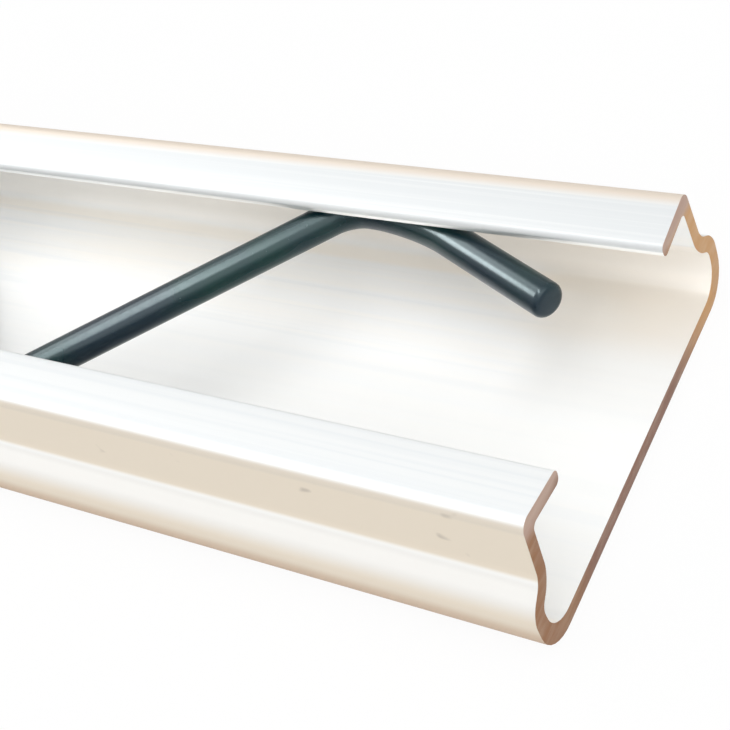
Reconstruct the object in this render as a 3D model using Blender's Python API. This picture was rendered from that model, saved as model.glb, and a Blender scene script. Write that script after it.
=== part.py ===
"""Film lock channel with its zigzag spring wire.

The channel is one extruded aluminium length that lies on its flat base. The wire is one
plastic-coated spring wire that sits in the channel, sprung against both side walls and
held down by the two lips.

X runs along the length, Y across it and Z up. The origin is the middle of the footprint,
on the underside of the base. The end with the free end of the wire in view is at +X.
"""

import math

import bpy
from mathutils import Matrix, Vector

MM = 0.001

# Channel, outside faces
LENGTH = 1000.0 * MM
WIDTH = 35.0 * MM
# Height of the ridge line before its corner is rounded
RIDGE_HEIGHT = 12.75 * MM
BULGE_TOP = 5.4 * MM
NECK_INSET = 2.0 * MM
NECK_HEIGHT = 7.1 * MM
RIDGE_INSET = 2.6 * MM
LIP_REACH = 5.2 * MM
LIP_DROP = 0.8 * MM

# Channel, wall thicknesses
BASE_THICKNESS = 1.3 * MM
BULGE_THICKNESS = 1.3 * MM
UPPER_WALL_THICKNESS = 1.15 * MM
LIP_THICKNESS = 1.25 * MM

# Channel, radii of the rounded corners
FOOT_RADIUS = 3.1 * MM
FOOT_INNER_RADIUS = 2.4 * MM
BULGE_RADIUS = 2.4 * MM
NECK_RADIUS = 1.9 * MM
RIDGE_RADIUS = 0.9 * MM
RIDGE_INNER_RADIUS = 0.5 * MM
TIP_RADIUS = 0.5 * MM
CORNER_STEPS = 8

# Spring wire
WIRE_DIAMETER = 2.9 * MM
WIRE_CLEARANCE = 0.3 * MM
LEG_ANGLE = math.radians(47.3)
PEAK_FLAT = 6.2 * MM
BEND_RADIUS = 4.0 * MM
BEND_STEPS = 3
# The bend from the first peak to the free end is much wider than the others
FIRST_BEND_RADIUS = 20.0 * MM
RIM_RADIUS = 0.55 * MM
RIM_STEPS = 2

# Where the wire starts, measured from the +X end of the channel
FREE_END_SETBACK = 7.8 * MM
FREE_END_SIDE = 5.8 * MM
FIRST_PEAK_SETBACK = 22.8 * MM
LAST_PEAK_LEAST_SETBACK = 12.0 * MM


class Corner:
    """One corner of an outline, with the radius that rounds it."""

    def __init__(self, place, radius):
        self.place = Vector(place)
        self.radius = radius


def line_meeting(start, towards, other_start, other_towards):
    """The point where two lines of the plane cross."""
    across = towards.x * other_towards.y - towards.y * other_towards.x
    between = other_start - start
    along = (between.x * other_towards.y - between.y * other_towards.x) / across
    return start + towards * along


def inner_chain(chain, thicknesses):
    """The inside of a bent strip: its outside chain moved in by each side's thickness."""
    starts = []
    headings = []
    for first, second, thickness in zip(chain, chain[1:], thicknesses):
        heading = (second - first).normalized()
        inward = Vector((-heading.y, heading.x))
        starts.append(first + inward * thickness)
        headings.append(heading)
    inside = [starts[0]]
    for index in range(1, len(starts)):
        inside.append(
            line_meeting(starts[index - 1], headings[index - 1], starts[index], headings[index])
        )
    last_inward = Vector((-headings[-1].y, headings[-1].x))
    inside.append(chain[-1] + last_inward * thicknesses[-1])
    return inside


def rounded(before, corners, after, steps):
    """Points along a chain of corners, each replaced by its arc."""
    places = [Vector(before)] + [corner.place for corner in corners] + [Vector(after)]
    points = []
    for index, corner in enumerate(corners, start=1):
        back = (places[index - 1] - corner.place).normalized()
        ahead = (places[index + 1] - corner.place).normalized()
        half = back.angle(ahead) / 2
        centre = corner.place + (back + ahead).normalized() * (corner.radius / math.sin(half))
        tangent = corner.radius / math.tan(half)
        arm = corner.place + back * tangent - centre
        last_arm = corner.place + ahead * tangent - centre
        turn = arm.angle(last_arm)
        if arm.to_2d().cross(last_arm.to_2d()) < 0:
            turn = -turn
        for step in range(steps + 1):
            part = turn * step / steps
            points.append(
                Vector(
                    (
                        centre.x + arm.x * math.cos(part) - arm.y * math.sin(part),
                        centre.y + arm.x * math.sin(part) + arm.y * math.cos(part),
                    )
                )
            )
    return points


def outside_chain():
    """Outside corners of one half of the section, from the middle of the base to the lip's tip."""
    half = WIDTH / 2
    ridge = half - RIDGE_INSET
    return [
        Vector((0.0, 0.0)),
        Vector((half, 0.0)),
        Vector((half, BULGE_TOP)),
        Vector((half - NECK_INSET, NECK_HEIGHT)),
        Vector((ridge, RIDGE_HEIGHT)),
        Vector((ridge - LIP_REACH, RIDGE_HEIGHT - LIP_DROP)),
    ]


def side_thicknesses():
    """Thickness behind each side of the outside chain."""
    return [
        BASE_THICKNESS,
        BULGE_THICKNESS,
        BULGE_THICKNESS,
        UPPER_WALL_THICKNESS,
        LIP_THICKNESS,
    ]


def section_outline():
    """The whole section as one closed loop of points, Y across and Z up."""
    outside = outside_chain()
    inside = inner_chain(outside, side_thicknesses())
    outer_radii = [FOOT_RADIUS, BULGE_RADIUS, NECK_RADIUS, RIDGE_RADIUS, TIP_RADIUS]
    inner_radii = [
        FOOT_INNER_RADIUS,
        BULGE_RADIUS - BULGE_THICKNESS,
        NECK_RADIUS + BULGE_THICKNESS,
        RIDGE_INNER_RADIUS,
        TIP_RADIUS,
    ]
    corners = [Corner(place, radius) for place, radius in zip(outside[1:], outer_radii)]
    going_back = [Corner(place, radius) for place, radius in zip(inside[1:], inner_radii)]
    half = rounded(outside[0], corners + going_back[::-1], inside[0], CORNER_STEPS)
    mirrored = [Vector((-point.x, point.y)) for point in reversed(half)]
    return half + mirrored


def wire_seat():
    """Height of the wire's middle, and its furthest reach to each side."""
    outside = outside_chain()
    inside = inner_chain(outside, side_thicknesses())
    reach = WIRE_DIAMETER / 2 + WIRE_CLEARANCE
    neck, ridge, tip = inside[3], inside[4], inside[5]
    lip_heading = (tip - ridge).normalized()
    lip_inward = Vector((-lip_heading.y, lip_heading.x))
    height = (tip + lip_inward * reach).y
    wall_heading = (ridge - neck).normalized()
    wall_inward = Vector((-wall_heading.y, wall_heading.x))
    level = line_meeting(
        neck + wall_inward * reach, wall_heading, Vector((0.0, height)), Vector((1.0, 0.0))
    )
    return height, level.x


def wire_corners(side):
    """Free end, corner points of the zigzag, and far end of the wire, in plan."""
    leg_run = 2 * side / math.tan(LEG_ANGLE)
    start = LENGTH / 2
    corners = []
    x = start - FIRST_PEAK_SETBACK
    y = side
    while x - PEAK_FLAT > LAST_PEAK_LEAST_SETBACK - LENGTH / 2:
        corners.append(Vector((x, y)))
        corners.append(Vector((x - PEAK_FLAT, y)))
        x -= PEAK_FLAT + leg_run
        y = -y
    first = Vector((start - FREE_END_SETBACK, FREE_END_SIDE))
    last_y = -corners[-1].y
    fraction = 0.35
    last = Vector((corners[-1].x - leg_run * fraction, corners[-1].y + 2 * last_y * fraction))
    return first, corners, last


def rimmed(end, inward):
    """Points and radius factors of a cut wire end with its rim rounded, from the face inwards."""
    found = []
    for step in range(RIM_STEPS + 1):
        tilt = math.radians(90) * step / RIM_STEPS
        depth = RIM_RADIUS * (1 - math.sin(tilt))
        loss = RIM_RADIUS * (1 - math.cos(tilt)) / (WIRE_DIAMETER / 2)
        found.append((end + inward * depth, 1 - loss))
    return found[::-1]


def wire_path(side):
    """Points of the wire's middle in plan, each with its radius factor."""
    first, corners, last = wire_corners(side)
    bends = [Corner(corners[0], FIRST_BEND_RADIUS)]
    bends += [Corner(place, BEND_RADIUS) for place in corners[1:]]
    middle = rounded(first, bends, last, BEND_STEPS)
    start = rimmed(first, (corners[0] - first).normalized())
    finish = rimmed(last, (corners[-1] - last).normalized())
    return start + [(point, 1.0) for point in middle] + finish[::-1]


def material(name, colour, roughness, metallic):
    """A Principled material with the given finish."""
    made = bpy.data.materials.new(name)
    made.use_nodes = True
    shader = made.node_tree.nodes["Principled BSDF"]
    shader.inputs["Base Color"].default_value = (*colour, 1.0)
    shader.inputs["Roughness"].default_value = roughness
    shader.inputs["Metallic"].default_value = metallic
    made.diffuse_color = (*colour, 1.0)
    return made


def curve_object(name, dimensions, finish, collection):
    """An empty curve with its material, in its collection."""
    curve = bpy.data.curves.new(name, "CURVE")
    curve.dimensions = dimensions
    curve.materials.append(finish)
    made = bpy.data.objects.new(name, curve)
    collection.objects.link(made)
    return made


def build_channel(collection):
    """The extruded channel: its section swept along the length."""
    finish = material("mill_aluminium", (0.86, 0.85, 0.83), 0.38, 1.0)
    channel = curve_object("lock_channel", "2D", finish, collection)
    channel.data.fill_mode = "BOTH"
    channel.data.extrude = LENGTH / 2
    outline = section_outline()
    spline = channel.data.splines.new("POLY")
    spline.points.add(len(outline) - 1)
    spline.use_cyclic_u = True
    for point, place in zip(spline.points, outline):
        point.co = (place.x, place.y, 0.0, 1.0)
    channel.matrix_world = Matrix(
        ((0.0, 0.0, 1.0, 0.0), (1.0, 0.0, 0.0, 0.0), (0.0, 1.0, 0.0, 0.0), (0.0, 0.0, 0.0, 1.0))
    )
    return channel


def build_wire(collection):
    """The zigzag wire, seated under the lips with its clearance to them and to the walls."""
    finish = material("coated_wire", (0.02, 0.045, 0.05), 0.35, 0.0)
    wire = curve_object("zigzag_spring_wire", "3D", finish, collection)
    wire.data.twist_mode = "Z_UP"
    wire.data.bevel_depth = WIRE_DIAMETER / 2
    wire.data.bevel_resolution = 2
    wire.data.use_fill_caps = True
    height, side = wire_seat()
    path = wire_path(side)
    spline = wire.data.splines.new("POLY")
    spline.points.add(len(path) - 1)
    spline.use_smooth = True
    for point, (place, factor) in zip(spline.points, path):
        point.co = (place.x, place.y, height, 1.0)
        point.radius = factor
    return wire


def main():
    for found in list(bpy.data.objects):
        bpy.data.objects.remove(found)
    collection = bpy.data.collections.new("film_lock_channel")
    bpy.context.scene.collection.children.link(collection)
    build_channel(collection)
    build_wire(collection)


main()
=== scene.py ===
"""Film lock channel with its zigzag spring wire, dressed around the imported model."""

import logging
import math
from collections.abc import Callable, Sequence
from dataclasses import dataclass
from enum import Enum

import bmesh
import bpy
from mathutils import Matrix, Vector


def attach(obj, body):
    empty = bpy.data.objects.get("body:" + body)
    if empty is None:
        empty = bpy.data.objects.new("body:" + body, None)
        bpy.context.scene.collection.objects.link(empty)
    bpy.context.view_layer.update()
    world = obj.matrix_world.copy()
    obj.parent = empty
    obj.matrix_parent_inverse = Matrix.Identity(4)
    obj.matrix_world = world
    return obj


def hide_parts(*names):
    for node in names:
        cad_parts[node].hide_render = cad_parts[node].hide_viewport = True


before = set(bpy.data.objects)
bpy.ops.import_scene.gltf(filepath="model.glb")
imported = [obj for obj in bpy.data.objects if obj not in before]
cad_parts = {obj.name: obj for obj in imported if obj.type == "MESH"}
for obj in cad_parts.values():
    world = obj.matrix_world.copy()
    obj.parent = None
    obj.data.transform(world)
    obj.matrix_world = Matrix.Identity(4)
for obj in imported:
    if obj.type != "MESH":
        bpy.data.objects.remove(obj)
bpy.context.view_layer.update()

MM = 0.001
ROOT_BODY = "root"
LOG = logging.getLogger("scene")

WHITE = (1.0, 1.0, 1.0)
# Two places closer than this are the same corner, in metres
SAME_PLACE = 0.01 * MM
# A bevel with this profile follows a circle
ROUND_PROFILE = 0.5

Colour = tuple[float, float, float]
Span = tuple[float, float]
Link = bpy.types.NodeSocket


class Slot(Enum):
    """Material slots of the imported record."""

    ALUMINIUM = "mill_aluminium"
    WIRE = "coated_wire"


class Axis(Enum):
    """Which part of a separated vector a mask reads."""

    X = 0
    Y = 1
    Z = 2


class BevelOf(Enum):
    """What a bevel works on."""

    CORNERS = "VERTICES"
    EDGES = "EDGES"


@dataclass
class Value:
    """A number in a shader that Python arithmetic extends with Math nodes."""

    graph: "Graph"
    socket: Link

    def __add__(self, other: "Value | float") -> "Value":
        """Sum."""
        return self.graph.math("ADD", self, other)

    def __radd__(self, other: float) -> "Value":
        """Sum with a number on the left."""
        return self.graph.math("ADD", other, self)

    def __sub__(self, other: "Value | float") -> "Value":
        """Difference."""
        return self.graph.math("SUBTRACT", self, other)

    def __rsub__(self, other: float) -> "Value":
        """Difference with a number on the left."""
        return self.graph.math("SUBTRACT", other, self)

    def __mul__(self, other: "Value | float") -> "Value":
        """Product."""
        return self.graph.math("MULTIPLY", self, other)

    def __rmul__(self, other: float) -> "Value":
        """Product with a number on the left."""
        return self.graph.math("MULTIPLY", other, self)

    def __abs__(self) -> "Value":
        """Size without its sign."""
        return self.graph.math("ABSOLUTE", self, 0.0)

    def most(self, other: "Value | float") -> "Value":
        """The larger of two numbers."""
        return self.graph.math("MAXIMUM", self, other)

    def step(self, span: Span) -> "Value":
        """Smooth step along a span.

        Args:
            span: where the step is 0 and where it is 1; the first may be the larger.

        Returns:
            The step, between 0 and 1.
        """
        empty, full = span
        node = self.graph.node(
            "ShaderNodeMapRange",
            {"interpolation_type": "SMOOTHSTEP"},
            {"Value": self, "From Min": empty, "From Max": full, "To Min": 0.0, "To Max": 1.0},
        )
        return Value(self.graph, node.outputs["Result"])


@dataclass(frozen=True)
class Grain:
    """A noise pattern on the object coordinates.

    The scale is in features per metre, and the stretch is a factor on it along each axis.
    The detail says how many finer layers there are, and the offset shifts the pattern, so
    that two of them differ. Its patches are cut out along the contrast.
    """

    scale: float
    stretch: tuple[float, float, float]
    detail: float
    offset: float = 0.0
    contrast: Span = (0.0, 1.0)
    roughness: float = 0.55


class Graph:
    """A tree of shader nodes, and the moves that add to it."""

    def __init__(self, tree: bpy.types.NodeTree) -> None:
        """Keeps the tree at hand."""
        self.tree = tree

    def feed(self, socket: Link, source: object) -> None:
        """Gives a socket a value or a link.

        Args:
            socket: the input.
            source: a Value, an output socket, or a plain value.
        """
        if isinstance(source, Value):
            source = source.socket
        if isinstance(source, bpy.types.NodeSocket):
            self.tree.links.new(source, socket)
        elif socket.type == "RGBA":
            socket.default_value = (*source, 1.0)
        else:
            socket.default_value = source

    def node(
        self, kind: str, settings: dict[str, object], sockets: dict[str | int, object]
    ) -> bpy.types.Node:
        """Adds a node.

        Args:
            kind: the node's type.
            settings: its properties, set before its sockets.
            sockets: a value or link for each named or numbered input.

        Returns:
            The node.
        """
        made = self.tree.nodes.new(kind)
        for key, value in settings.items():
            setattr(made, key, value)
        for key, source in sockets.items():
            self.feed(made.inputs[key], source)
        return made

    def math(self, operation: str, first: object, second: object) -> Value:
        """Adds a Math node and returns its result."""
        made = self.node("ShaderNodeMath", {"operation": operation}, {0: first, 1: second})
        return Value(self, made.outputs[0])

    def mix(self, factor: object, first: object, second: object) -> Link:
        """Blends two colours.

        Args:
            factor: 0 gives the first colour and 1 the second.
            first: a colour or a link.
            second: a colour or a link.

        Returns:
            The blended colour.
        """
        made = self.node("ShaderNodeMix", {"data_type": "RGBA"}, {})
        colours = [socket for socket in made.inputs if socket.type == "RGBA"]
        self.feed(made.inputs[0], factor)
        self.feed(colours[0], first)
        self.feed(colours[1], second)
        return next(socket for socket in made.outputs if socket.type == "RGBA")

    def places(self) -> tuple[Value, Value, Value]:
        """Splits the object coordinates.

        Returns:
            The three coordinates, in millimetres.
        """
        coordinates = self.node("ShaderNodeTexCoord", {}, {})
        split = self.node("ShaderNodeSeparateXYZ", {}, {0: coordinates.outputs["Object"]})
        return tuple(Value(self, split.outputs[axis.value]) * (1 / MM) for axis in Axis)

    def noise(self, grain: Grain) -> Value:
        """Adds a noise pattern.

        Args:
            grain: the pattern.

        Returns:
            The noise, about 0.5 on average.
        """
        coordinates = self.node("ShaderNodeTexCoord", {}, {})
        mapping = self.node(
            "ShaderNodeMapping",
            {},
            {
                "Vector": coordinates.outputs["Object"],
                "Location": (grain.offset, grain.offset, grain.offset),
                "Scale": grain.stretch,
            },
        )
        made = self.node(
            "ShaderNodeTexNoise",
            {},
            {
                "Vector": mapping.outputs[0],
                "Scale": grain.scale,
                "Detail": grain.detail,
                "Roughness": grain.roughness,
            },
        )
        return Value(self, made.outputs[0])

    def patches(self, grain: Grain) -> Value:
        """The patches that a noise pattern's contrast cuts out of it."""
        return self.noise(grain).step(grain.contrast)

    def seen(self) -> Value:
        """Tells what is looked at from what gives light.

        Returns:
            1 for the camera and for what gloss or glass shows, and 0 for light.
        """
        rays = self.node("ShaderNodeLightPath", {}, {})
        camera = Value(self, rays.outputs["Is Camera Ray"])
        gloss = Value(self, rays.outputs["Is Glossy Ray"])
        glass = Value(self, rays.outputs["Is Transmission Ray"])
        return camera.most(gloss).most(glass)


class SurfaceGraph(Graph):
    """The nodes of one material, around its Principled shader."""

    def __init__(self, name: str) -> None:
        """Starts the material.

        Args:
            name: the material's name.
        """
        self.material = bpy.data.materials.new(name)
        self.material.use_nodes = True
        super().__init__(self.material.node_tree)
        self.shader = self.tree.nodes["Principled BSDF"]
        self.output = self.tree.nodes["Material Output"]

    def give(self, name: str, source: object) -> None:
        """Gives one of the shader's inputs a value or a link."""
        self.feed(self.shader.inputs[name], source)

    def bump(self, height: Value, strength: float, distance: float) -> None:
        """Bends the shader's normal by a height.

        Args:
            height: the height, in units of distance.
            strength: how much of it shows.
            distance: the real height of 1, in millimetres.
        """
        made = self.node(
            "ShaderNodeBump",
            {},
            {"Strength": strength, "Distance": distance * MM, "Height": height},
        )
        self.give("Normal", made.outputs[0])


def srgb(red: float, green: float, blue: float) -> Colour:
    """Turns a colour as it shows on a screen into linear numbers.

    Args:
        red: the red channel, from 0 to 255.
        green: the green channel.
        blue: the blue channel.

    Returns:
        The linear colour.
    """

    def linear(channel: float) -> float:
        """One channel's linear number."""
        part = channel / 255
        return part / 12.92 if part <= 0.04045 else ((part + 0.055) / 1.055) ** 2.4

    return linear(red), linear(green), linear(blue)


@dataclass(frozen=True)
class ChannelShape:
    """The channel's outside sizes that its finish follows, in millimetres."""

    half_length: float
    half_width: float
    bulge_top: float
    neck_inset: float
    neck_height: float
    ridge_inset: float
    ridge_height: float

    @property
    def wall_lean(self) -> float:
        """How far the upper wall goes outwards with each millimetre up; below 0 it leans in."""
        return (self.neck_inset - self.ridge_inset) / (self.ridge_height - self.neck_height)

    @property
    def slope_lean(self) -> float:
        """How far the bulge's sloping top goes inwards with each millimetre up."""
        return self.neck_inset / (self.neck_height - self.bulge_top)


@dataclass
class ChannelSpot:
    """Where the shaded point of the channel lies, in millimetres."""

    shape: ChannelShape
    x: Value
    y: Value
    z: Value

    def __post_init__(self) -> None:
        """Adds the distances that the masks share."""
        self.side = abs(self.y)
        self.end_depth = self.shape.half_length - abs(self.x)
        self.side_depth = self.shape.half_width - self.side
        self.ridge_depth = self.shape.ridge_height - self.z


@dataclass(frozen=True)
class ChannelZones:
    """Where each tone of the channel starts and where it is full, in millimetres."""

    # Inwards from the nearest saw cut
    saw_depth: Span = (0.05, 0.02)
    grey_patch_depth: Span = (14.0, 9.0)
    wire_shadow_depth: Span = (17.0, 11.0)
    bounce_end_depth: Span = (60.0, 20.0)

    # Down from the ridge line
    shade_band_head: Span = (0.25, 0.6)
    shade_line_head: Span = (0.3, 0.5)
    shade_line_foot: Span = (1.2, 0.8)
    peach_reflection_foot: Span = (1.0, 0.7)
    lip_foot: Span = (1.4, 1.2)
    sawn_lip_foot: Span = (2.2, 1.0)

    # Inwards from the widest part of the bulge
    skin_depth: Span = (0.9, 0.6)
    mark_depth: Span = (3.4, 2.9)

    # Inwards from the bulge's sloping top, and from the far ridge
    slope_depth: Span = (1.3, 0.9)
    peach_reflection_depth: Span = (1.7, 0.8)

    # Outwards from the leaning wall's outside, and from the slanting line across the foot
    wall_skin: Span = (-0.85, -0.55)
    foot_skin: Span = (0.9, 1.3)

    # Up from the neck
    shade_band_foot: Span = (-0.1, 0.35)

    # Up from the underside
    base_foot: Span = (1.0, 1.2)
    under_top: Span = (1.25, 1.15)
    flat_top: Span = (1.6, 1.4)
    curve_top: Span = (2.4, 1.4)
    highlight_seam_top: Span = (2.2, 1.8)
    hollow_foot: Span = (1.4, 2.2)
    hollow_top: Span = (11.2, 10.6)
    umber_shade_top: Span = (3.0, 1.5)
    tan_shade_top: Span = (4.4, 2.8)
    beige_shade_top: Span = (6.1, 4.6)
    slope_foot: Span = (5.1, 5.4)
    skin_top: Span = (7.4, 6.8)
    wall_foot: Span = (6.8, 7.1)
    mark_foot: Span = (6.8, 7.6)
    tip_foot: Span = (10.4, 10.6)
    tip_top: Span = (11.7, 11.4)

    # To both sides of the middle plane
    tip_side: Span = (10.8, 10.3)
    hollow_side: Span = (13.2, 13.7)

    # Across the channel, where the near side is below 0
    mauve_across: Span = (-13.5, -9.0)
    gold_across: Span = (6.0, 14.5)
    lip_shade_across: Span = (-9.0, 9.0)
    grey_patch_across: Span = (-1.5, 4.0)
    near_base_shade_across: Span = (7.0, 0.5)
    wire_shadow_across: Span = (6.5, 10.5)
    highlight_seam_near: Span = (13.0, 13.7)
    highlight_seam_far: Span = (15.0, 14.4)


@dataclass(frozen=True)
class AluminiumFinish:
    """Pale mill-finish aluminium with sawn ends; its warm flanks and its other shade, shadow,
    highlight and reflected light are painted into its colour.
    """

    shape: ChannelShape
    zones: ChannelZones = ChannelZones()

    pale: Colour = srgb(254, 253, 250)
    cool: Colour = srgb(251, 252, 252)
    # Cream: a real cloudy tone of the metal, and also the painted highlight along the far wall's
    # foot
    cream_and_highlight: Colour = srgb(254, 250, 243)
    # Painted shade: both lips painted greyer than the pale metal, the far lip greyer still
    near_lip_shade: Colour = srgb(233, 236, 237)
    far_lip_shade: Colour = srgb(215, 218, 219)
    # Beige: painted shade and warm reflection on the outer walls and flanks, and also one of the
    # cut faces' own saw tones
    beige_and_painted_shade: Colour = srgb(225, 214, 197)
    # Painted shade: a greyer line just under the ridge
    grey_shade_line: Colour = srgb(208, 200, 188)
    # Painted shade and warm reflection on the flanks, darkening towards the feet
    tan: Colour = srgb(203, 181, 158)
    umber_shade: Colour = srgb(176, 146, 118)
    # Painted reflection: a warm peach edge on the far ridge only
    peach_reflection: Colour = srgb(221, 209, 195)
    # Painted shade: the bulges' outside painted greyer than the pale metal
    shaded_skin: Colour = srgb(231, 230, 227)
    # Painted shadow: a warm cloudy shadow on the far part of the base beside the wire's free leg,
    # near each end
    wire_shadow: Colour = srgb(229, 218, 202)
    # Painted shade: the near half of the base painted greyer
    near_base_shade: Colour = srgb(239, 240, 239)
    line: Colour = srgb(236, 240, 243)
    # A greyer patch across the middle of the base close to each end
    grey_patch: Colour = srgb(232, 232, 230)
    # Painted warm reflected light on the inner walls under the lips, stronger near the ends
    hollow_bounce: Colour = srgb(254, 248, 239)
    sawn_gold: Colour = srgb(194, 150, 103)
    sawn_brown: Colour = srgb(146, 104, 72)
    sawn_mauve: Colour = srgb(136, 101, 85)
    sawn_rose: Colour = srgb(178, 150, 135)
    smudge: Colour = srgb(150, 140, 132)

    streaks: Grain = Grain(900.0, (0.012, 1.0, 1.0), 4.0, 0.0, (0.35, 0.7))
    clouds: Grain = Grain(60.0, (0.5, 1.0, 1.0), 2.0, 3.0, (0.5, 0.75))
    brushing: Grain = Grain(1500.0, (0.006, 1.0, 1.0), 3.0, 29.0, (0.4, 0.65))
    base_lines: Grain = Grain(700.0, (0.01, 1.0, 1.0), 3.0, 23.0, (0.5, 0.64))
    wire_shadow_clouds: Grain = Grain(90.0, (0.6, 1.0, 1.0), 2.0, 17.0, (0.2, 0.6))
    marks: Grain = Grain(260.0, (1.0, 1.0, 1.4), 2.0, 11.0, (0.66, 0.76))
    saw_tones: Grain = Grain(1200.0, (1.0, 0.2, 1.0), 3.0, 5.0, (0.35, 0.8))
    saw_cuts: Grain = Grain(1500.0, (1.0, 0.08, 1.0), 3.0, 7.0)

    # How much of each tone shows where it is full
    cloud_share: float = 0.5
    brushing_share: float = 0.25
    shade_line_share: float = 0.5
    base_line_share: float = 0.45
    grey_patch_share: float = 0.8
    near_base_shade_share: float = 0.7
    wire_shadow_share: float = 0.3
    wire_shadow_cloud_share: float = 0.3
    hollow_bounce_share: float = 0.3
    hollow_bounce_end_share: float = 0.6
    mark_share: float = 0.7
    saw_tone_share: float = 0.18

    # The slanting line across the foot, under which the flank's tones go on
    foot_reach: float = 3.6
    foot_rise: float = 1.1
    foot_slant: float = 0.9

    roughness: float = 0.4
    streak_roughness: float = 0.12
    saw_roughness: float = 0.14
    metal: float = 0.1
    tip_metal: float = 0.7
    specular: float = 0.3
    streak_height: float = 0.6
    bump_strength: float = 0.35
    bump_height: float = 0.03

    def build(self) -> bpy.types.Material:
        """Makes the material.

        Returns:
            The material.
        """
        graph = SurfaceGraph("pale_aluminium")
        spot = ChannelSpot(self.shape, *graph.places())
        streaks = graph.noise(self.streaks)
        colour = graph.mix(streaks.step(self.streaks.contrast), self.pale, self.cool)
        colour = graph.mix(graph.patches(self.clouds) * self.cloud_share, colour, self.cream_and_highlight)
        colour = self.lips(graph, spot, colour)
        colour = self.upper_wall_shade(graph, spot, colour)
        colour = self.flank_shade_and_bounce(graph, spot, colour)
        colour = self.far_edge_light(graph, spot, colour)
        colour = self.base(graph, spot, colour)
        colour = self.rubbed_marks(graph, spot, colour)
        colour = self.sawn_ends(graph, spot, colour)
        sawn = spot.end_depth.step(self.zones.saw_depth)
        dullness = streaks * self.streak_roughness + sawn * self.saw_roughness
        cuts = graph.noise(self.saw_cuts)
        height = streaks * (1.0 - sawn) * self.streak_height + cuts * sawn
        graph.give("Base Color", colour)
        graph.give("Roughness", self.roughness + dullness)
        graph.give("Metallic", self.metal + self.lip_tips(spot) * self.tip_metal)
        graph.give("Specular IOR Level", self.specular)
        graph.bump(height, self.bump_strength, self.bump_height)
        return graph.material

    def lip_tips(self, spot: ChannelSpot) -> Value:
        """Mask of the lips' rounded tips."""
        height = spot.z.step(self.zones.tip_foot) * spot.z.step(self.zones.tip_top)
        return spot.side.step(self.zones.tip_side) * height

    def wall_outside(self, spot: ChannelSpot) -> Value:
        """Masks the outside of the leaning upper walls.

        Args:
            spot: the shaded point.

        Returns:
            The mask, which is also 1 on the bulges' outside.
        """
        shape = self.shape
        over_neck = spot.z - shape.neck_height
        wall = over_neck * shape.wall_lean + (shape.half_width - shape.neck_inset)
        return (spot.side - wall).step(self.zones.wall_skin)

    def flank_skin(self, spot: ChannelSpot) -> Value:
        """Masks the upright outside of the bulges and the rounded feet below.

        Args:
            spot: the shaded point.

        Returns:
            The mask.
        """
        out = self.foot_reach - spot.side_depth
        slant = out * self.foot_slant + (self.foot_rise - spot.z)
        under = slant.step(self.zones.foot_skin) * spot.z.step(self.zones.under_top)
        return spot.side_depth.step(self.zones.skin_depth).most(under)

    def lips(self, graph: Graph, spot: ChannelSpot, colour: Link) -> Link:
        """Paints cool greyer tones on both lips as painted shade, the far lip greyest, with
        brushed patches.

        Args:
            graph: the material's nodes.
            spot: the shaded point.
            colour: the colour so far.

        Returns:
            The colour with the lips.
        """
        # painted shade: greyer lip tones, the far lip greyest
        across = spot.y.step(self.zones.lip_shade_across)
        shade_tone = graph.mix(across, self.near_lip_shade, self.far_lip_shade)
        brushed = graph.patches(self.brushing) * self.brushing_share
        shade_tone = graph.mix(brushed, shade_tone, self.pale)
        return graph.mix(spot.ridge_depth.step(self.zones.lip_foot), colour, shade_tone)

    def upper_wall_shade(self, graph: Graph, spot: ChannelSpot, colour: Link) -> Link:
        """Paints a beige band of shade and warm reflection on the leaning outer walls, with a
        greyer line of painted shade under the ridge.

        Args:
            graph: the material's nodes.
            spot: the shaded point.
            colour: the colour so far.

        Returns:
            The colour with the band.
        """
        zones = self.zones
        outside = self.wall_outside(spot)
        over_neck = spot.z - self.shape.neck_height
        # painted shade and warm reflection: a beige band on the leaning outer walls
        shade_band = over_neck.step(zones.shade_band_foot) * spot.ridge_depth.step(zones.shade_band_head)
        colour = graph.mix(outside * shade_band, colour, self.beige_and_painted_shade)
        # painted shade: a greyer line just under the ridge
        line = spot.ridge_depth.step(zones.shade_line_head) * spot.ridge_depth.step(zones.shade_line_foot)
        return graph.mix(outside * line * self.shade_line_share, colour, self.grey_shade_line)

    def flank_shade_and_bounce(self, graph: Graph, spot: ChannelSpot, colour: Link) -> Link:
        """Paints greyer shade on the bulges' outside, warm reflected light on the inner walls,
        and warm shade through beige and tan to umber towards the feet.

        Args:
            graph: the material's nodes.
            spot: the shaded point.
            colour: the colour so far.

        Returns:
            The colour with the flanks.
        """
        zones = self.zones
        shaded_skin = self.flank_skin(spot)
        over_bulge = spot.z - self.shape.bulge_top
        slope = spot.side_depth - over_bulge * self.shape.slope_lean
        bulge = slope.step(zones.slope_depth) * spot.z.step(zones.slope_foot)
        outside = bulge.most(shaded_skin)
        # painted shade on the bulges' outside
        colour = graph.mix(outside * spot.z.step(zones.skin_top), colour, self.shaded_skin)

        outside = outside.most(self.wall_outside(spot) * spot.z.step(zones.wall_foot))
        # painted warm reflected light in the hollows under the lips
        hollow_bounce = (1.0 - outside) * spot.side.step(zones.hollow_side)
        hollow_bounce = hollow_bounce * spot.z.step(zones.hollow_foot) * spot.z.step(zones.hollow_top)
        bounce_warmth = self.hollow_bounce_share + spot.end_depth.step(zones.bounce_end_depth) * self.hollow_bounce_end_share
        colour = graph.mix(hollow_bounce * bounce_warmth, colour, self.hollow_bounce)

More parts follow.
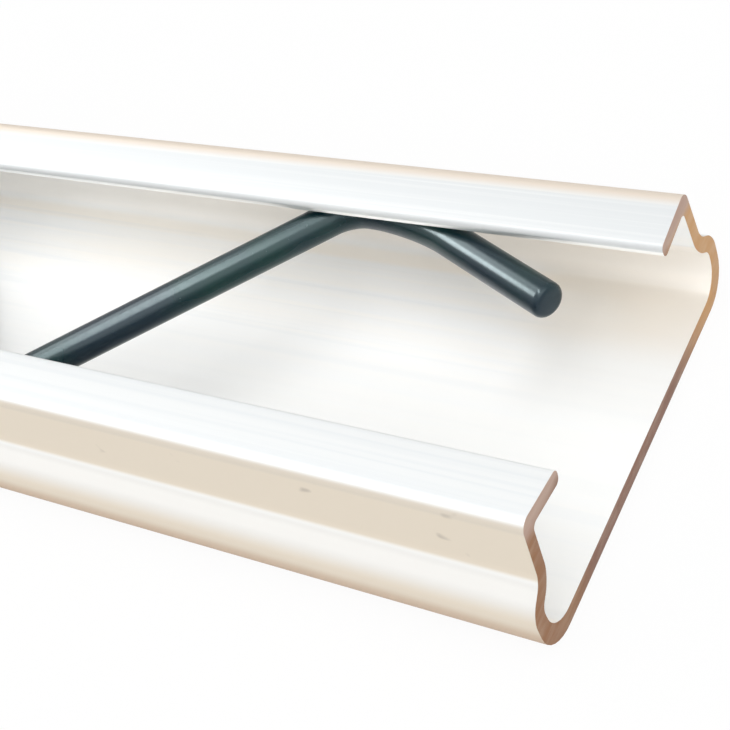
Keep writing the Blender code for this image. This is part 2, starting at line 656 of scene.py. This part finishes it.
        # painted shade and warm reflection, darker through beige and tan to umber towards the
        # feet
        shade_tones = (
            (zones.beige_shade_top, self.beige_and_painted_shade),
            (zones.tan_shade_top, self.tan),
            (zones.umber_shade_top, self.umber_shade),
        )
        for top, shade_tone in shade_tones:
            colour = graph.mix(shaded_skin * spot.z.step(top), colour, shade_tone)
        return colour

    def far_edge_light(self, graph: Graph, spot: ChannelSpot, colour: Link) -> Link:
        """Paints a peach reflection on the far ridge and a cream highlight along the far wall's
        foot.

        Args:
            graph: the material's nodes.
            spot: the shaded point.
            colour: the colour so far.

        Returns:
            The colour with both edges.
        """
        zones = self.zones
        # painted warm reflection on the far ridge
        inwards = (self.shape.half_width - self.shape.ridge_inset) - spot.y
        ridge = spot.ridge_depth.step(zones.peach_reflection_foot) * inwards.step(zones.peach_reflection_depth)
        colour = graph.mix(ridge, colour, self.peach_reflection)
        # painted highlight: a cream line along the foot of the far inner wall
        highlight_seam = spot.y.step(zones.highlight_seam_near) * spot.y.step(zones.highlight_seam_far)
        return graph.mix(highlight_seam * spot.z.step(zones.highlight_seam_top), colour, self.cream_and_highlight)

    def base(self, graph: Graph, spot: ChannelSpot, colour: Link) -> Link:
        """Adds faint lines, painted shade on the near half, and close to the ends a greyer patch
        and a painted warm shadow.

        Args:
            graph: the material's nodes.
            spot: the shaded point.
            colour: the colour so far.

        Returns:
            The colour with the inside of the base.
        """
        zones = self.zones
        inside = spot.z.step(zones.base_foot)
        flat = spot.z.step(zones.flat_top) * inside
        curve = spot.z.step(zones.curve_top) * inside
        lines = graph.patches(self.base_lines) * curve
        colour = graph.mix(lines * self.base_line_share, colour, self.line)
        # a greyer patch on the base close to each end
        grey_patch = spot.end_depth.step(zones.grey_patch_depth) * spot.y.step(zones.grey_patch_across) * flat
        colour = graph.mix(grey_patch * self.grey_patch_share, colour, self.grey_patch)
        # painted shade on the near half of the base
        near = spot.y.step(zones.near_base_shade_across) * flat
        colour = graph.mix(near * self.near_base_shade_share, colour, self.near_base_shade)
        # painted warm shadow beside the wire's free leg
        wire_shadow = spot.end_depth.step(zones.wire_shadow_depth) * spot.y.step(zones.wire_shadow_across) * curve
        cloudy = self.wire_shadow_share + graph.patches(self.wire_shadow_clouds) * self.wire_shadow_cloud_share
        return graph.mix(wire_shadow * cloudy, colour, self.wire_shadow)

    def rubbed_marks(self, graph: Graph, spot: ChannelSpot, colour: Link) -> Link:
        """Adds small rubbed marks along the outer walls.

        Args:
            graph: the material's nodes.
            spot: the shaded point.
            colour: the colour so far.

        Returns:
            The colour with the marks.
        """
        wall = spot.side_depth.step(self.zones.mark_depth) * spot.z.step(self.zones.mark_foot)
        marks = graph.patches(self.marks) * wall
        return graph.mix(marks * self.mark_share, colour, self.smudge)

    def sawn_ends(self, graph: Graph, spot: ChannelSpot, colour: Link) -> Link:
        """Adds the darker metal of the two cut faces.

        Args:
            graph: the material's nodes.
            spot: the shaded point.
            colour: the colour so far.

        Returns:
            The colour with the cut faces.
        """
        zones = self.zones
        metal = graph.mix(spot.y.step(zones.mauve_across), self.sawn_brown, self.sawn_mauve)
        metal = graph.mix(spot.y.step(zones.gold_across), metal, self.sawn_gold)
        metal = graph.mix(spot.ridge_depth.step(zones.sawn_lip_foot), metal, self.sawn_rose)
        metal = graph.mix(graph.patches(self.saw_tones) * self.saw_tone_share, metal, self.beige_and_painted_shade)
        return graph.mix(spot.end_depth.step(zones.saw_depth), colour, metal)


@dataclass(frozen=True)
class CoatedWireFinish:
    """Smooth dark green plastic coat."""

    deep: Colour = srgb(3, 25, 40)
    green: Colour = srgb(4, 43, 42)
    sheen: Colour = (0.82, 0.98, 1.0)
    clouds: Grain = Grain(120.0, (1.0, 1.0, 1.0), 2.0, 0.0, (0.35, 0.7))
    scuffs: Grain = Grain(2200.0, (1.0, 1.0, 1.0), 2.0, 4.0)
    roughness: float = 0.2
    scuff_roughness: float = 0.1
    specular: float = 0.5
    bump_strength: float = 0.15
    bump_height: float = 0.02

    def build(self) -> bpy.types.Material:
        """Makes the material.

        Returns:
            The material.
        """
        graph = SurfaceGraph("dark_coat")
        scuffs = graph.noise(self.scuffs)
        graph.give("Base Color", graph.mix(graph.patches(self.clouds), self.deep, self.green))
        graph.give("Roughness", self.roughness + scuffs * self.scuff_roughness)
        graph.give("Specular IOR Level", self.specular)
        graph.give("Specular Tint", self.sheen)
        graph.bump(scuffs, self.bump_strength, self.bump_height)
        return graph.material


@dataclass(frozen=True)
class FloorFinish:
    """Plain white floor that keeps the object's shadow."""

    white: Colour = (0.92, 0.92, 0.92)
    roughness: float = 0.9
    glow_share: float = 0.93

    def build(self) -> bpy.types.Material:
        """Makes the material.

        Returns:
            The material.
        """
        graph = SurfaceGraph("plain_floor")
        graph.give("Base Color", self.white)
        graph.give("Roughness", self.roughness)
        graph.give("Specular IOR Level", 0.0)
        glow = graph.node("ShaderNodeEmission", {}, {"Color": WHITE, "Strength": 1.0})
        share = graph.seen() * self.glow_share
        mixed = graph.node(
            "ShaderNodeMixShader",
            {},
            {0: share, 1: graph.shader.outputs[0], 2: glow.outputs[0]},
        )
        graph.feed(graph.output.inputs["Surface"], mixed.outputs[0])
        return graph.material


class Bench:
    """One mesh on the bench, shaped by hand moves in edit mode."""

    def __init__(self, name: str) -> None:
        """Puts down a small plane and makes it the piece.

        Args:
            name: the piece's name.
        """
        bpy.ops.object.select_all(action="DESELECT")
        bpy.ops.mesh.primitive_plane_add(size=MM, location=(0.0, 0.0, 0.0))
        self.piece = bpy.context.active_object
        self.piece.name = name
        self.piece.data.name = name

    def edit(self) -> None:
        """Enters edit mode, to work on points."""
        bpy.ops.object.mode_set(mode="EDIT")
        bpy.ops.mesh.select_mode(type="VERT")

    def leave(self) -> None:
        """Leaves edit mode."""
        bpy.ops.object.mode_set(mode="OBJECT")

    def face_outwards(self) -> None:
        """Turns all faces outwards."""
        bpy.ops.mesh.select_all(action="SELECT")
        bpy.ops.mesh.normals_make_consistent(inside=False)

    def pick_points(self, test: Callable[[Vector], bool]) -> None:
        """Selects the points whose place passes a test.

        Args:
            test: says for a place whether its point is wanted.
        """
        mesh = bmesh.from_edit_mesh(self.piece.data)
        for point in mesh.verts:
            point.select_set(test(point.co))
        mesh.select_flush_mode()
        bmesh.update_edit_mesh(self.piece.data)

    def pick_faces(self, test: Callable[[bmesh.types.BMFace], bool]) -> None:
        """Selects the faces that pass a test.

        Args:
            test: says for a face whether it is wanted.
        """
        bpy.ops.mesh.select_mode(type="FACE")
        mesh = bmesh.from_edit_mesh(self.piece.data)
        for face in mesh.faces:
            face.select_set(test(face))
        bmesh.update_edit_mesh(self.piece.data)

    def chain(self, places: Sequence[Vector]) -> None:
        """Turns the starting plane into a chain of edges through the places.

        Args:
            places: the corners, in order.
        """
        self.edit()
        bpy.ops.mesh.select_all(action="SELECT")
        bpy.ops.mesh.merge(type="CENTER")
        bpy.ops.transform.translate(value=places[0])
        for before, after in zip(places, places[1:]):
            bpy.ops.mesh.extrude_vertices_move(TRANSFORM_OT_translate={"value": after - before})

    def bevel(self, kind: BevelOf, reach: float, steps: int) -> None:
        """Rounds the selected corners or edges.

        Args:
            kind: what is rounded.
            reach: how far from it the arc starts.
            steps: how many edges or faces the arc has.
        """
        bpy.ops.mesh.bevel(
            offset=reach,
            offset_type="OFFSET",
            segments=steps,
            profile=ROUND_PROFILE,
            affect=kind.value,
            clamp_overlap=False,
        )

    def round_corner(self, place: Vector, tangent: float, steps: int) -> None:
        """Replaces a corner of the chain by its arc.

        Args:
            place: the corner.
            tangent: how far from the corner the arc starts.
            steps: how many edges the arc has.
        """
        self.pick_points(lambda found: (found - place).length < SAME_PLACE)
        self.bevel(BevelOf.CORNERS, tangent, steps)

    def soften_rims(self, width: float, steps: int) -> None:
        """Rounds the boundary of the selected faces."""
        bpy.ops.mesh.region_to_loop()
        self.bevel(BevelOf.EDGES, width, steps)

    def finish(self, angle: float) -> bpy.types.Object:
        """Turns all faces outwards and shades them smooth below an angle.

        Args:
            angle: edges sharper than this stay crisp, in degrees.

        Returns:
            The finished piece.
        """
        self.edit()
        self.face_outwards()
        self.leave()
        bpy.ops.object.shade_smooth_by_angle(angle=math.radians(angle))
        return self.piece


def heading(first: Vector, second: Vector) -> Vector:
    """Unit vector from one place to another."""
    return (second - first).normalized()


def inwards_of(way: Vector) -> Vector:
    """The way turned a quarter in the YZ plane, to where the channel's metal lies."""
    return Vector((0.0, -way.z, way.y))


def tangent_length(before: Vector, corner: Vector, after: Vector, radius: float) -> float:
    """How far from a corner an arc of a radius starts."""
    half = heading(corner, before).angle(heading(corner, after)) / 2
    return radius / math.tan(half)


def crossing(start: Vector, towards: Vector, other: Vector, other_towards: Vector) -> Vector:
    """Finds where two lines in the YZ plane cross.

    Args:
        start: a place on the first line.
        towards: the way that the first line goes.
        other: a place on the second line.
        other_towards: the way that the second line goes.

    Returns:
        The crossing.
    """
    across = towards.y * other_towards.z - towards.z * other_towards.y
    between = other - start
    along = (between.y * other_towards.z - between.z * other_towards.y) / across
    return start + towards * along


@dataclass
class LockChannel:
    """The extruded channel, in millimetres."""

    length: float = 1000.0
    width: float = 35.0
    ridge_height: float = 12.75
    bulge_top: float = 5.4
    neck_inset: float = 2.0
    neck_height: float = 7.1
    ridge_inset: float = 2.6
    lip_reach: float = 5.2
    lip_drop: float = 0.8
    base: float = 1.3
    bulge: float = 1.3
    upper_wall: float = 1.15
    lip: float = 1.25
    foot_radius: float = 3.1
    foot_inner_radius: float = 2.4
    bulge_radius: float = 2.4
    neck_radius: float = 1.9
    ridge_radius: float = 0.9
    ridge_inner_radius: float = 0.5
    tip_radius: float = 0.5
    arc_steps: int = 8
    rim: float = 0.05
    rim_steps: int = 2
    crisp_angle: float = 32.0
    # A face belongs to a cut end where its normal has at least this much of X
    end_facing: float = 0.9

    def outside(self) -> list[Vector]:
        """Lays out the outside corners of the +Y half.

        Returns:
            The corners, from the middle of the base to the lip's tip.
        """
        half = self.width / 2
        ridge = half - self.ridge_inset
        flat = [
            (0.0, 0.0),
            (half, 0.0),
            (half, self.bulge_top),
            (half - self.neck_inset, self.neck_height),
            (ridge, self.ridge_height),
            (ridge - self.lip_reach, self.ridge_height - self.lip_drop),
        ]
        return [Vector((0.0, across, up)) for across, up in flat]

    def inside(self) -> list[Vector]:
        """Moves the outside corners in by each side's thickness.

        Returns:
            The inside corners, in the same order.
        """
        chain = self.outside()
        depths = [self.base, self.bulge, self.bulge, self.upper_wall, self.lip]
        starts: list[Vector] = []
        ways: list[Vector] = []
        for first, second, depth in zip(chain, chain[1:], depths):
            way = heading(first, second)
            starts.append(first + inwards_of(way) * depth)
            ways.append(way)
        found = [starts[0]]
        for index in range(1, len(starts)):
            found.append(
                crossing(starts[index - 1], ways[index - 1], starts[index], ways[index])
            )
        return [*found, chain[-1] + inwards_of(ways[-1]) * self.lip]

    def corners(self) -> list[tuple[Vector, float]]:
        """Joins outside and inside to the whole section.

        Returns:
            All its corners in order, each with its radius.
        """
        outer_radii = [
            self.foot_radius,
            self.bulge_radius,
            self.neck_radius,
            self.ridge_radius,
            self.tip_radius,
        ]
        inner_radii = [
            self.foot_inner_radius,
            self.bulge_radius - self.bulge,
            self.neck_radius + self.bulge,
            self.ridge_inner_radius,
            self.tip_radius,
        ]
        half = list(zip(self.outside()[1:], outer_radii))
        half += list(zip(self.inside()[1:], inner_radii))[::-1]
        mirrored = [(Vector((0.0, -place.y, place.z)), radius) for place, radius in half]
        return half + mirrored[::-1]

    def build(self) -> bpy.types.Object:
        """Draws the section, rounds its corners, fills it and pulls it to length.

        Returns:
            The piece.
        """
        corners = self.corners()
        start = Vector((-self.length / 2, 0.0, 0.0))
        places = [(start + place) * MM for place, _ in corners]
        bench = Bench("channel_extrusion")
        bench.chain(places)
        ends = (places[0], places[-1])
        bench.pick_points(lambda found: any((found - end).length < SAME_PLACE for end in ends))
        bpy.ops.mesh.edge_face_add()
        for index, (_, radius) in enumerate(corners):
            before = places[index - 1]
            after = places[(index + 1) % len(places)]
            tangent = tangent_length(before, places[index], after, radius * MM)
            bench.round_corner(places[index], tangent, self.arc_steps)
        bpy.ops.mesh.select_all(action="SELECT")
        bpy.ops.mesh.edge_face_add()
        bpy.ops.mesh.extrude_region_move(
            TRANSFORM_OT_translate={"value": (self.length * MM, 0.0, 0.0)}
        )
        bench.face_outwards()
        bench.pick_faces(lambda face: abs(face.normal.x) > self.end_facing)
        bench.soften_rims(self.rim * MM, self.rim_steps)
        bench.leave()
        return bench.finish(self.crisp_angle)

    def dress(self, piece: bpy.types.Object) -> None:
        """Gives the channel its finish and its place in the frame.

        Args:
            piece: the built channel.
        """
        shape = ChannelShape(
            half_length=self.length / 2,
            half_width=self.width / 2,
            bulge_top=self.bulge_top,
            neck_inset=self.neck_inset,
            neck_height=self.neck_height,
            ridge_inset=self.ridge_inset,
            ridge_height=self.ridge_height,
        )
        piece.data.materials.clear()
        piece.data.materials.append(AluminiumFinish(shape).build())
        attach(piece, ROOT_BODY)
        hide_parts("lock_channel")


@dataclass
class SpringWire:
    """The zigzag wire, in millimetres, seated in a channel."""

    channel: LockChannel
    diameter: float = 2.9
    clearance: float = 0.3
    leg_angle: float = 47.3
    peak_flat: float = 6.2
    bend_radius: float = 4.0
    first_bend_radius: float = 20.0
    free_end_setback: float = 7.8
    free_end_side: float = 5.8
    first_peak_setback: float = 22.8
    last_peak_least_setback: float = 12.0
    tail_share: float = 0.35
    bend_steps: int = 10
    round_steps: int = 10
    rim: float = 0.55
    rim_steps: int = 5
    same_point: float = 0.001
    crisp_angle: float = 40.0
    # A face belongs to a cut end where its normal has at least this much of the wire's way
    end_facing: float = 0.99

    def seat(self) -> tuple[float, float]:
        """Finds where the lips and the leaning walls let the round wire lie.

        Returns:
            The height of its middle, and its furthest reach to each side.
        """
        *_, neck, ridge, tip = self.channel.inside()
        reach = self.diameter / 2 + self.clearance
        height = tip.z + heading(ridge, tip).y * reach
        wall_way = heading(neck, ridge)
        shifted = neck + inwards_of(wall_way) * reach
        level = crossing(
            shifted, wall_way, Vector((0.0, 0.0, height)), Vector((0.0, 1.0, 0.0))
        )
        return height, level.y

    def route(self) -> list[Vector]:
        """Lays out the zigzag.

        Returns:
            The corners of the wire's middle, from the free end in view to the far end.
        """
        height, side = self.seat()
        half = self.channel.length / 2
        run = 2 * side / math.tan(math.radians(self.leg_angle))
        corners: list[Vector] = []
        x = half - self.first_peak_setback
        y = side
        while x - self.peak_flat > self.last_peak_least_setback - half:
            corners.append(Vector((x, y, height)))
            corners.append(Vector((x - self.peak_flat, y, height)))
            x -= self.peak_flat + run
            y = -y
        first = Vector((half - self.free_end_setback, self.free_end_side, height))
        last = corners[-1] + Vector((-run, -2 * corners[-1].y, 0.0)) * self.tail_share
        return [first, *corners, last]

    def thicken(self, bench: Bench) -> None:
        """Gives the bent line the wire's thickness, as one closed mesh in edit mode.

        Args:
            bench: the bench that holds the line.
        """
        bpy.ops.object.convert(target="CURVE")
        wire = bench.piece.data
        wire.dimensions = "3D"
        wire.twist_mode = "Z_UP"
        wire.bevel_depth = self.diameter / 2 * MM
        wire.bevel_resolution = self.round_steps
        wire.use_fill_caps = True
        bpy.ops.object.convert(target="MESH")
        bench.edit()
        bpy.ops.mesh.select_all(action="SELECT")
        bpy.ops.mesh.remove_doubles(threshold=self.same_point * MM)
        bench.face_outwards()

    def build(self) -> bpy.types.Object:
        """Bends the wire, gives it its thickness and rounds its cut ends.

        Returns:
            The piece.
        """
        places = [place * MM for place in self.route()]
        bench = Bench("spring_wire")
        bench.chain(places)
        radius = self.first_bend_radius
        for before, corner, after in zip(places, places[1:], places[2:]):
            tangent = tangent_length(before, corner, after, radius * MM)
            bench.round_corner(corner, tangent, self.bend_steps)
            radius = self.bend_radius
        bench.leave()
        self.thicken(bench)
        near = self.diameter / 2 * MM
        ends = (
            (places[0], heading(places[1], places[0])),
            (places[-1], heading(places[-2], places[-1])),
        )
        bench.pick_faces(
            lambda face: any(
                abs(face.normal.dot(way)) > self.end_facing
                and (face.calc_center_median() - end).length < near
                for end, way in ends
            )
        )
        bpy.ops.mesh.dissolve_faces()
        bench.soften_rims(self.rim * MM, self.rim_steps)
        bench.leave()
        return bench.finish(self.crisp_angle)

    def dress(self, piece: bpy.types.Object) -> None:
        """Gives the wire its finish and its place in the frame.

        Args:
            piece: the built wire.
        """
        piece.data.materials.clear()
        piece.data.materials.append(CoatedWireFinish().build())
        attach(piece, ROOT_BODY)
        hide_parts("zigzag_spring_wire")


@dataclass(frozen=True)
class Softbox:
    """One rectangular lamp that faces the object, for all light or only for gloss."""

    name: str
    towards: tuple[float, float, float]
    along: tuple[float, float, float]
    length: float
    breadth: float
    power: float
    gloss_only: bool = False

    def hang(self, aim: Vector, distance: float) -> None:
        """Hangs the lamp.

        Args:
            aim: the place that it faces.
            distance: how far from that place it hangs, in metres.
        """
        lamp = bpy.data.lights.new(self.name, "AREA")
        lamp.shape = "RECTANGLE"
        lamp.size = self.length
        lamp.size_y = self.breadth
        lamp.energy = self.power
        holder = bpy.data.objects.new(self.name, lamp)
        holder.visible_diffuse = not self.gloss_only
        bpy.context.scene.collection.objects.link(holder)
        way = Vector(self.towards).normalized()
        along = Vector(self.along)
        along = (along - way * along.dot(way)).normalized()
        facing = Matrix((along, way.cross(along), way)).transposed().to_4x4()
        holder.matrix_world = Matrix.Translation(aim + way * distance) @ facing


@dataclass
class Studio:
    """Floor, soft lamps, white surroundings and the camera, placed in metres."""

    aim: Vector
    distance: float = 3.0
    fill: float = 0.56
    floor_size: float = 40.0
    floor_height: float = -0.02 * MM
    # Lens and sensor in millimetres, the camera's turn in degrees
    lens: float = 72.719
    sensor: float = 36.0
    sight: Span = (0.001, 100.0)
    eye: tuple[float, float, float] = (0.538546, -0.055066, 0.086854)
    turn: tuple[float, float, float] = (41.77144, 18.94422, 28.012)
    lamps: tuple[Softbox, ...] = (
        Softbox("sky", (0.0, 0.0, 1.0), (1.0, 0.0, 0.0), 8.0, 3.0, 38.0),
        Softbox("near_fill", (0.0, -0.57, 0.82), (1.0, 0.0, 0.0), 8.0, 3.0, 38.0),
        Softbox("front_fill", (0.62, -0.3, 0.72), (0.0, 1.0, 0.0), 3.0, 2.0, 20.0),
        Softbox("overhead", (-0.08, -0.13, 0.99), (0.735, -0.678, 0.0), 2.6, 0.4, 52.0, True),
        Softbox("left_bank", (-0.742, -0.2, 0.64), (0.36, 0.8, 0.47), 1.0, 1.0, 53.0, True),
        Softbox("left_veil", (-0.63, 0.12, 0.76), (0.4, 0.91, 0.11), 1.7, 1.0, 27.0, True),
    )

    def floor(self) -> None:
        """Lays the floor."""
        bpy.ops.object.select_all(action="DESELECT")
        bpy.ops.mesh.primitive_plane_add(
            size=self.floor_size, location=(0.0, 0.0, self.floor_height)
        )
        piece = bpy.context.active_object
        piece.name = "floor"
        piece.data.materials.append(FloorFinish().build())

    def light(self) -> None:
        """Hangs the lamps round the object."""
        for softbox in self.lamps:
            softbox.hang(self.aim, self.distance)

    def surroundings(self) -> None:
        """White all round for the camera and for reflections, and a dimmer fill."""
        world = bpy.data.worlds.new("white_room")
        bpy.context.scene.world = world
        world.use_nodes = True
        world.node_tree.nodes.clear()
        graph = Graph(world.node_tree)
        strength = self.fill + graph.seen() * (1.0 - self.fill)
        background = graph.node(
            "ShaderNodeBackground", {}, {"Color": WHITE, "Strength": strength}
        )
        graph.node("ShaderNodeOutputWorld", {}, {"Surface": background.outputs[0]})

    def camera(self) -> None:
        """Sets the camera where the photograph was taken from."""
        lens = bpy.data.cameras.new("photo_view")
        lens.lens = self.lens
        lens.sensor_width = self.sensor
        lens.clip_start, lens.clip_end = self.sight
        holder = bpy.data.objects.new("photo_view", lens)
        bpy.context.scene.collection.objects.link(holder)
        holder.location = self.eye
        holder.rotation_euler = [math.radians(angle) for angle in self.turn]
        bpy.context.scene.camera = holder

    def build(self) -> None:
        """Sets up everything round the object."""
        self.floor()
        self.light()
        self.surroundings()
        self.camera()
        bpy.context.scene.view_settings.view_transform = "Standard"


def main() -> None:
    """Builds the object and the studio."""
    logging.basicConfig(level=logging.INFO, format="%(message)s")
    channel = LockChannel()
    for maker in (channel, SpringWire(channel)):
        piece = maker.build()
        maker.dress(piece)
        LOG.info("%s: %d faces", piece.name, len(piece.data.polygons))
    Studio(aim=Vector((0.47, 0.0, 0.0))).build()


if __name__ == "__main__":
    main()
